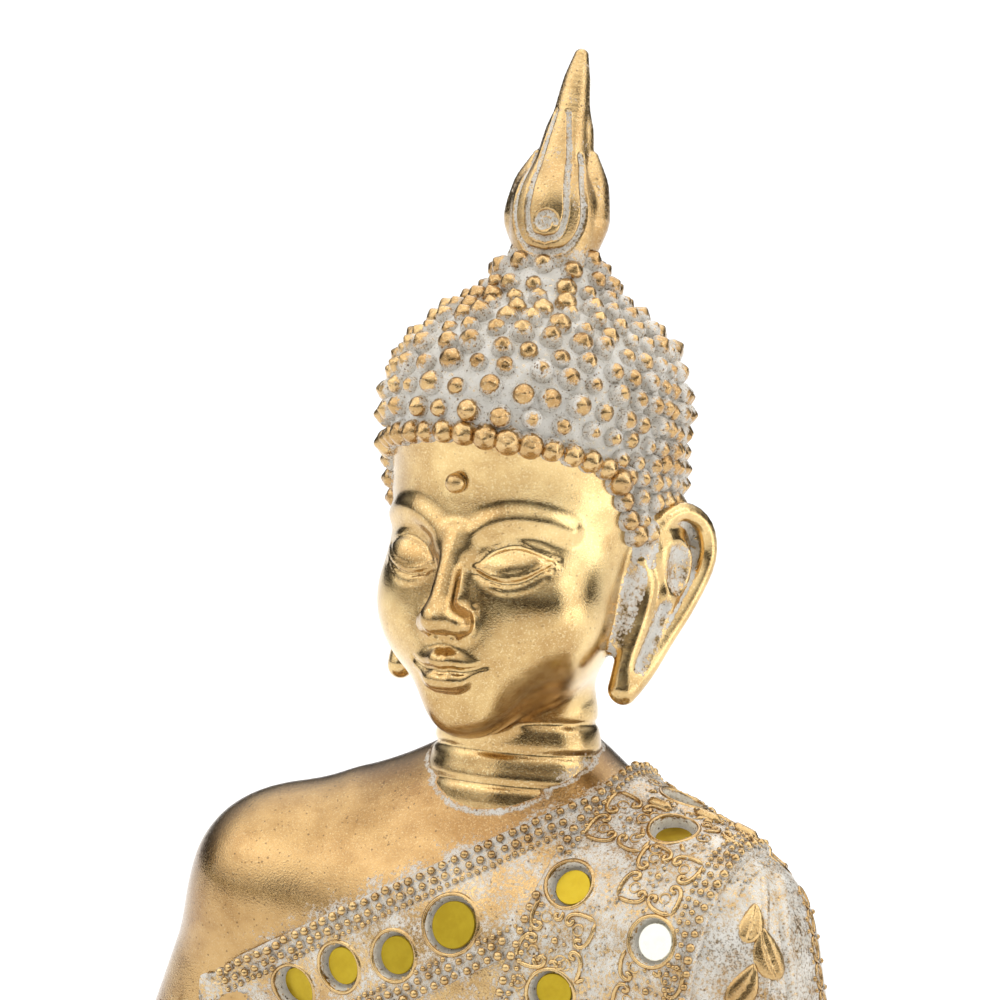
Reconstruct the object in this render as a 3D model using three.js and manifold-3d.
// Seated Buddha statue in hollow polyresin, in millimetres, +Z up, facing -Y.
// The body and the head are two castings that plug together at the neck, the flame is a third one on a
// steel pin, a board on felt pads closes the underside, and round glass mirrors lie in pockets of the robe.
import * as THREE from "three";
import { mergeVertices } from "three/addons/utils/BufferGeometryUtils.js";
import Module from "manifold-3d";

const wasm = await Module();
wasm.setup();

// ---------- Driving dimensions ----------
const GAP = 0.35; // glue gap between two pieces
const PAD_HEIGHT = 2; // felt pads under the casting
const PAD_RADIUS = 7;
const BOARD_THICKNESS = 3;
const NECK_SEAT = 190; // height of the neck plug's flat end
const CROWN = 306; // top of the hair mound, where the flame stands
const PIN_RADIUS = 1.5;
const PIN_REACH = 11; // how far the pin goes into each piece
const BODY_CELL = 8.4; // grid steps of the sculpted skins
const HEAD_CELL = 3.8;
const FLAME_CELL = 2.4;
const GLASS_THICKNESS = 1.3;
const POCKET_DEPTH = 1.6; // from the robe's surface down to the pocket floor
const POCKET_MARGIN = 1.1; // pocket radius beyond the glass
const POCKET_SIDES = 12;
const GLASS_SIDES = 14;
const GLASS_FLOOR = 0.3 - POCKET_DEPTH; // underside of the glass, from the robe's surface

// ---------- Distance fields ----------
// A field takes a point (x, y, z) and returns the distance to a surface, negative inside.
const ball = ([cx, cy, cz], [rx, ry, rz]) => (x, y, z) => {
  const [u, v, w] = [(x - cx) / rx, (y - cy) / ry, (z - cz) / rz];
  const near = Math.hypot(u, v, w);
  return (near * (near - 1)) / Math.max(Math.hypot(u / rx, v / ry, w / rz), 1e-9);
};

const limb = ([ax, ay, az], [bx, by, bz], ra, rb) => {
  const [dx, dy, dz] = [bx - ax, by - ay, bz - az];
  const squared = dx * dx + dy * dy + dz * dz;
  return (x, y, z) => {
    const along = ((x - ax) * dx + (y - ay) * dy + (z - az) * dz) / squared;
    const t = Math.min(Math.max(along, 0), 1);
    return Math.hypot(x - ax - t * dx, y - ay - t * dy, z - az - t * dz) - ra - t * (rb - ra);
  };
};

const softMin = (a, b, k) => {
  const overlap = Math.max(k - Math.abs(a - b), 0) / k;
  return Math.min(a, b) - overlap * overlap * k * 0.25;
};

const blend = (k, ...fields) => (x, y, z) =>
  fields.map((field) => field(x, y, z)).reduce((a, b) => softMin(a, b, k));

const mirrored = ([x, y, z]) => [-x, y, z];

function slope(field, [x, y, z], step = 0.05) {
  return new THREE.Vector3(
    field(x + step, y, z) - field(x - step, y, z),
    field(x, y + step, z) - field(x, y - step, z),
    field(x, y, z + step) - field(x, y, z - step),
  ).normalize();
}

// Moves a point that lies near a field's surface onto it.
function settle(field, point) {
  const p = new THREE.Vector3(...point);
  for (let i = 0; i < 12; i++) p.addScaledVector(slope(field, p.toArray()), -0.8 * field(...p.toArray()));
  return p;
}

// ---------- Skins: a closed mesh around a field, by surface nets ----------
// A grid cell's corners are numbered by bits, 1 for X, 2 for Y and 4 for Z. Each cell that the surface
// crosses gets one vertex for each connected group of its inside corners, so that the skin stays closed.
const BITS = [1, 2, 4];
const cornerOffset = (corner) => BITS.map((bit) => (corner & bit ? 1 : 0));

function insideGroup(values, start) {
  const group = [start];
  for (const corner of group)
    for (const next of BITS.map((bit) => corner ^ bit))
      if (values[next] < 0 && !group.includes(next)) group.push(next);
  return group;
}

function skin(field, low, high, cell) {
  const count = low.map((value, axis) => Math.ceil((high[axis] - value) / cell) + 1);
  const index = ([i, j, k]) => i + count[0] * (j + count[1] * k);
  const add = (a, b, scale = 1) => a.map((value, axis) => value + scale * b[axis]);
  const place = (node) => new THREE.Vector3(...add(low, node, cell));
  const nodes = [];
  for (let k = 0; k < count[2]; k++)
    for (let j = 0; j < count[1]; j++) for (let i = 0; i < count[0]; i++) nodes.push([i, j, k]);
  const value = nodes.map((node) => field(...place(node).toArray()));

  const positions = [];
  const vertices = new Map();
  function vertexOf(origin, corner) {
    const values = [0, 1, 2, 3, 4, 5, 6, 7].map((c) => value[index(add(origin, cornerOffset(c)))]);
    const group = insideGroup(values, corner);
    const key = 8 * index(origin) + Math.min(...group);
    if (vertices.has(key)) return vertices.get(key);
    const crossings = group.flatMap((c) =>
      BITS.filter((bit) => values[c ^ bit] >= 0).map((bit) => {
        const [from, to] = [c, c ^ bit].map((end) => place(add(origin, cornerOffset(end))));
        return from.lerp(to, values[c] / (values[c] - values[c ^ bit]));
      }),
    );
    const mean = crossings.reduce((sum, p) => sum.add(p), new THREE.Vector3());
    positions.push(...nudge(field, mean.divideScalar(crossings.length), cell / 4).toArray());
    vertices.set(key, positions.length / 3 - 1);
    return positions.length / 3 - 1;
  }

  const triangles = [];
  const steps = [[1, 0, 0], [0, 1, 0], [0, 0, 1]];
  for (const node of nodes) {
    if (node.some((n, axis) => n < 1 || n > count[axis] - 2)) continue;
    steps.forEach((step, axis) => {
      const beyond = add(node, step);
      const inside = value[index(node)] < 0;
      if (inside === value[index(beyond)] < 0) return;
      const [across, up] = [steps[(axis + 1) % 3], steps[(axis + 2) % 3]];
      const quad = [[1, 1], [0, 1], [0, 0], [1, 0]].map(([s, t]) => {
        const origin = add(add(node, across, -s), up, -t);
        const offset = add(inside ? node : beyond, origin, -1);
        return vertexOf(origin, offset[0] + 2 * offset[1] + 4 * offset[2]);
      });
      if (!inside) quad.reverse();
      triangles.push(quad[0], quad[1], quad[2], quad[0], quad[2], quad[3]);
    });
  }
  const geometry = new THREE.BufferGeometry();
  geometry.setAttribute("position", new THREE.Float32BufferAttribute(positions, 3));
  return geometry.setIndex(triangles);
}

// Moves a point towards the field's surface, by no more than a limit.
function nudge(field, point, limit) {
  const travel = THREE.MathUtils.clamp(-field(...point.toArray()), -limit, limit);
  return point.addScaledVector(slope(field, point.toArray()), travel);
}

// ---------- Solids ----------
function solid(geometry) {
  const bare = geometry.clone();
  bare.deleteAttribute("normal");
  bare.deleteAttribute("uv");
  const merged = mergeVertices(bare, 1e-4);
  // Faces at the poles of a lathe, a sphere or a capsule collapse when their vertices merge.
  const triVerts = [];
  for (let i = 0; i < merged.index.count; i += 3) {
    const [a, b, c] = merged.index.array.slice(i, i + 3);
    if (a !== b && b !== c && c !== a) triVerts.push(a, b, c);
  }
  const vertProperties = merged.attributes.position.array;
  return new wasm.Manifold(
    new wasm.Mesh({ numProp: 3, vertProperties, triVerts: new Uint32Array(triVerts) }),
  );
}

function geometryOf(manifold) {
  const mesh = manifold.getMesh();
  const geometry = new THREE.BufferGeometry();
  geometry.setAttribute("position", new THREE.BufferAttribute(mesh.vertProperties, 3));
  geometry.setIndex(new THREE.BufferAttribute(mesh.triVerts, 1));
  return geometry;
}

// An upright cylinder between two heights, at a place in plan.
function post(radius, bottom, top, x = 0, y = 0, sides = 32) {
  const geometry = new THREE.CylinderGeometry(radius, radius, top - bottom, sides);
  return geometry.rotateX(Math.PI / 2).translate(x, y, (bottom + top) / 2);
}

// ---------- Body casting ----------
const HIP = [36, 14, 34];
const KNEE = [97, -34, 25];
const SHOULDER = [48, -7, 174.5];
const ELBOW = [83, -7, 92];
const WRIST = [37, -40, 63];
const RIGHT_ANKLE = [34, -60, 42];
const RIGHT_TOES = [78, -50, 46];
const LEFT_ANKLE = [-34, -66, 17];
const LEFT_TOES = [-76, -62, 13];

const torso = blend(
  16,
  ball([0, 18, 40], [58, 42, 44]),
  ball([0, 6, 86], [42, 30, 42]),
  ball([0, 0, 140], [52, 31, 46]),
  limb(SHOULDER, mirrored(SHOULDER), 19, 19),
  limb([0, 6, 195], [30, 2, 186], 16, 14),
  limb([0, 6, 195], [-30, 2, 186], 16, 14),
);
const legs = blend(
  9,
  ball([0, -16, 14], [98, 58, 24]),
  limb([-42, 24, 26], [42, 24, 26], 30, 30),
  limb(HIP, KNEE, 31, 23),
  limb(mirrored(HIP), mirrored(KNEE), 31, 23),
  limb(KNEE, LEFT_ANKLE, 20, 13),
  limb(mirrored(KNEE), RIGHT_ANKLE, 21, 13),
);
const feet = blend(5, limb(RIGHT_ANKLE, RIGHT_TOES, 11, 8), limb(LEFT_ANKLE, LEFT_TOES, 11, 8));
const arm = (side) => {
  const [shoulder, elbow, wrist] = [SHOULDER, ELBOW, WRIST].map((p) => (side > 0 ? p : mirrored(p)));
  return blend(6, limb(shoulder, elbow, 19, 14.5), limb(elbow, wrist, 14, 9.5));
};
// The robe hangs from the left arm and closes the space between that arm and the flank.
const drape = blend(8, limb([44, -4, 150], [64, -4, 84], 12, 13), limb([44, -4, 112], [54, -6, 60], 14, 16));
const bodyField = blend(8, torso, legs, feet, arm(1), arm(-1), drape);

// Open hands in the lap, the right one on the left one, each with a palm, four fingers and a thumb.
function hand(side, height) {
  const palm = new THREE.SphereGeometry(1, 12, 8).scale(19, 14.5, 7).translate(-side * -15, -52, height);
  const parts = [solid(palm)];
  for (let i = 0; i < 4; i++) {
    const length = 27 - 2.5 * Math.abs(i - 1.3);
    const finger = new THREE.CapsuleGeometry(3.6, length, 2, 6).rotateZ(Math.PI / 2);
    parts.push(solid(finger.translate(-side * 8, -63 + 7 * i, height - 0.5)));
  }
  const thumb = new THREE.CapsuleGeometry(3.6, 20, 2, 6).rotateZ(side * 1.15);
  parts.push(solid(thumb.translate(side * 13, -63, height + 5)));
  return wasm.Manifold.union(parts);
}

// The hollow inside the torso, open at the underside.
function hollow() {
  const profile = [[0, -10], [46, -10], [46, 16], [34, 40], [27, 86], [33, 130], [30, 158], [0, 168]];
  const points = profile.map(([r, z]) => new THREE.Vector2(r, z));
  const lathe = new THREE.LatheGeometry(points, 28).rotateX(Math.PI / 2).scale(1, 0.62, 1);
  return solid(lathe.translate(0, 8, 0));
}

function boardOutline(margin) {
  return new THREE.Shape().absellipse(0, 2, 58 + margin, 36 + margin, 0, 2 * Math.PI);
}

function boardSolid(margin, bottom, top) {
  const options = { depth: top - bottom, bevelEnabled: false, curveSegments: 20 };
  return new THREE.ExtrudeGeometry(boardOutline(margin), options).translate(0, 0, bottom);
}

// ---------- Head casting ----------
const EAR = [30.5, 12.5, 248];
const headField = blend(
  5,
  ball([0, 5.5, 262], [27.6, 33, 31]),
  ball([0, -8, 240], [24, 23, 25]),
  ball([0, 5, 279], [28, 34.5, 21.8]),
  ball([0, 10.5, 296], [12.5, 13.5, 14]),
  limb([0, -31, 252], [0, -36, 239], 2.4, 4.6),
  limb([0, 1, NECK_SEAT - 12], [0, 2, 222], 21.5, 16),
  ball(EAR, [4, 7.5, 10.5]),
  ball(mirrored(EAR), [4, 7.5, 10.5]),
  limb([29.5, 9, 240], [25, -4, 224], 4.6, 3.4),
  limb([-29.5, 9, 240], [-25, -4, 224], 4.6, 3.4),
);
const HEAD_LOW = [-42, -50, 148]; // the grid box that holds the head and its neck plug
const HEAD_HIGH = [42, 44, 316];

function headHollow() {
  const foot = NECK_SEAT - 5;
  const profile = [[0, foot], [9, foot], [9, 222], [18, 242], [19, 262], [12, 280], [0, 285]];
  const points = profile.map(([r, z]) => new THREE.Vector2(r, z));
  return solid(new THREE.LatheGeometry(points, 20).rotateX(Math.PI / 2).translate(0, 1, 0));
}

// ---------- Flame ----------
const FLAME_AXIS = [0, 10.5]; // where the pin stands in plan
const flameField = blend(
  2.5,
  ball([0, 10.5, 317], [10.4, 9, 11.5]),
  limb([0, 10.8, 303], [0, 10.8, 313], 8.2, 9),
  limb([0, 10.3, 322], [0, 12.5, 338], 7, 4.4),
  limb([0, 12.5, 338], [0, 18, 348.5], 3.4, 1.2),
  limb([7, 10.5, 316], [8.2, 11, 326], 3.4, 1.4),
  limb([-7, 10.5, 316], [-8.2, 11, 326], 3.4, 1.4),
  limb([4.4, 11, 326], [4.6, 13, 338], 3, 1.2),
  limb([-4.4, 11, 326], [-4.6, 13, 338], 3, 1.2),
);

// ---------- Mirrors ----------
// A row of glass discs along a smooth line close to the robe; colour is "amber" or "clear".
function mirrorRow(name, colour, radius, count, ...line) {
  const curve = new THREE.CatmullRomCurve3(line.map((p) => new THREE.Vector3(...p)));
  return Array.from({ length: count }, (_, i) => {
    const near = curve.getPointAt(count > 1 ? i / (count - 1) : 0).toArray();
    const centre = settle(bodyField, near);
    const normal = slope(bodyField, centre.toArray(), 2);
    return { name: `mirror_${name}_${i + 1}`, colour, radius, centre, normal };
  });
}

const mirrors = [
  ...mirrorRow("chest", "amber", 4.8, 1, [1.5, -27.7, 176.7], [1.5, -29, 172]),
  ...mirrorRow("sash", "amber", 3.9, 3, [-10.6, -28.7, 169.1], [-23.2, -27.4, 165.1], [-35.6, -24, 158.6]),
  ...mirrorRow("stole", "amber", 3.7, 2, [25.4, -22.6, 186.5], [41.5, -10.8, 196.5]),
  ...mirrorRow("breast", "clear", 3.7, 3, [46.2, -27.5, 179.1], [44, -33, 157.5], [41, -34, 136]),
  ...mirrorRow("belly", "amber", 3.7, 3, [24.3, -28, 166.1], [22.5, -32, 145], [20.5, -34, 124]),
  ...mirrorRow("shoulder", "amber", 3.7, 3, [37, 3, 202], [57, 4, 193], [42, 22, 193]),
  ...mirrorRow("sleeve", "amber", 3.7, 3, [76, -8, 160], [90, -8, 126], [98, -6, 98]),
  ...mirrorRow("back_sash", "amber", 3.9, 4, [-34, 24, 150], [0, 32, 166], [22, 26, 180]),
  ...mirrorRow("back", "amber", 3.7, 3, [-22, 38, 100], [0, 40, 106], [22, 36, 112]),
  ...mirrorRow("left_knee", "amber", 3.9, 3, [74, -20, 52], [104, -40, 46], [96, -60, 36]),
  ...mirrorRow("right_knee", "amber", 3.9, 3, [-74, -20, 52], [-104, -40, 46], [-96, -60, 36]),
];

// A disc along a mirror's normal, between two distances from the robe's surface.
function disc({ centre, normal }, radius, from, to, sides) {
  const turn = new THREE.Quaternion().setFromUnitVectors(new THREE.Vector3(0, 1, 0), normal);
  const middle = centre.clone().addScaledVector(normal, (from + to) / 2);
  const geometry = new THREE.CylinderGeometry(radius, radius, to - from, sides);
  return geometry.applyQuaternion(turn).translate(...middle.toArray());
}

// ---------- Assembly ----------
const PADS = [[93, -30], [-93, -30], [40, 32], [-40, 32]];
const floor = new THREE.BoxGeometry(400, 400, 60).translate(0, 0, PAD_HEIGHT - 30);

const MATERIALS = {
  gold: new THREE.MeshStandardMaterial({ color: 0xc9a45c, roughness: 0.3, metalness: 0.9 }),
  steel: new THREE.MeshStandardMaterial({ color: 0x9a9ca0, roughness: 0.35, metalness: 1 }),
  board: new THREE.MeshStandardMaterial({ color: 0x6b5137, roughness: 0.9, metalness: 0 }),
  felt: new THREE.MeshStandardMaterial({ color: 0x2c2a28, roughness: 1, metalness: 0 }),
  amber: new THREE.MeshStandardMaterial({ color: 0xc9a514, roughness: 0.08, metalness: 0.6 }),
  clear: new THREE.MeshStandardMaterial({ color: 0xe9ebe4, roughness: 0.05, metalness: 0.9 }),
};

function bodyCasting() {
  const skinned = skin(bodyField, [-136, -100, -20], [136, 84, 212], BODY_CELL);
  let body = solid(skinned).add(hand(-1, 58)).add(hand(1, 51.5));
  body = body.subtract(solid(floor)).subtract(hollow());
  body = body.subtract(solid(boardSolid(GAP, -10, PAD_HEIGHT + BOARD_THICKNESS + GAP)));
  const neckSocket = skin((x, y, z) => headField(x, y, z) - 2 * GAP, HEAD_LOW, HEAD_HIGH, HEAD_CELL);
  const socketFloor = new THREE.BoxGeometry(90, 90, 60).translate(0, 0, NECK_SEAT - GAP - 30);
  body = body.subtract(solid(neckSocket).subtract(solid(socketFloor)));
  for (const m of mirrors)
    body = body.subtract(solid(disc(m, m.radius + POCKET_MARGIN, -POCKET_DEPTH, 4, POCKET_SIDES)));
  // The casting alone, without the hair-thin voids that crossing fingers enclose.
  return body.decompose().sort((a, b) => b.volume() - a.volume())[0];
}

function headCasting() {
  const below = new THREE.BoxGeometry(90, 90, 60).translate(0, 0, NECK_SEAT - 30);
  const above = new THREE.BoxGeometry(90, 90, 60).translate(0, 0, CROWN + 30);
  const pinHole = post(PIN_RADIUS + GAP, CROWN - PIN_REACH - 1, CROWN + 5, ...FLAME_AXIS, 12);
  return solid(skin(headField, HEAD_LOW, HEAD_HIGH, HEAD_CELL))
    .subtract(solid(below))
    .subtract(solid(above))
    .subtract(headHollow())
    .subtract(solid(pinHole));
}

function flame() {
  const below = new THREE.BoxGeometry(60, 60, 40).translate(0, 0, CROWN + GAP - 20);
  const pinHole = post(PIN_RADIUS + GAP, CROWN - 5, CROWN + PIN_REACH + 1, ...FLAME_AXIS, 12);
  return solid(skin(flameField, [-16, -6, 290], [16, 24, 356], FLAME_CELL))
    .subtract(solid(below))
    .subtract(solid(pinHole));
}

const statue = new THREE.Group();
function place(name, geometry, material) {
  const mesh = new THREE.Mesh(geometry, MATERIALS[material]);
  mesh.name = name;
  statue.add(mesh);
}

place("body_casting", geometryOf(bodyCasting()), "gold");
place("head_casting", geometryOf(headCasting()), "gold");
place("flame_finial", geometryOf(flame()), "gold");
place("flame_pin", post(PIN_RADIUS, CROWN - PIN_REACH, CROWN + PIN_REACH, ...FLAME_AXIS, 12), "steel");
const ventHole = solid(post(6, -5, 12, 0, 2, 20));
const board = solid(boardSolid(0, PAD_HEIGHT, PAD_HEIGHT + BOARD_THICKNESS)).subtract(ventHole);
place("base_board", geometryOf(board), "board");
PADS.forEach(([x, y], i) =>
  place(`felt_pad_${i + 1}`, post(PAD_RADIUS, 0, PAD_HEIGHT - GAP, x, y, 20), "felt"),
);
for (const m of mirrors) {
  const glass = disc(m, m.radius, GLASS_FLOOR, GLASS_FLOOR + GLASS_THICKNESS, GLASS_SIDES);
  place(m.name, glass, m.colour);
}

// The statue stands with the middle of its footprint on the origin.
const middle = new THREE.Box3().setFromObject(statue).getCenter(new THREE.Vector3());
for (const mesh of statue.children) mesh.geometry.translate(-middle.x, -middle.y, 0);

export default statue;
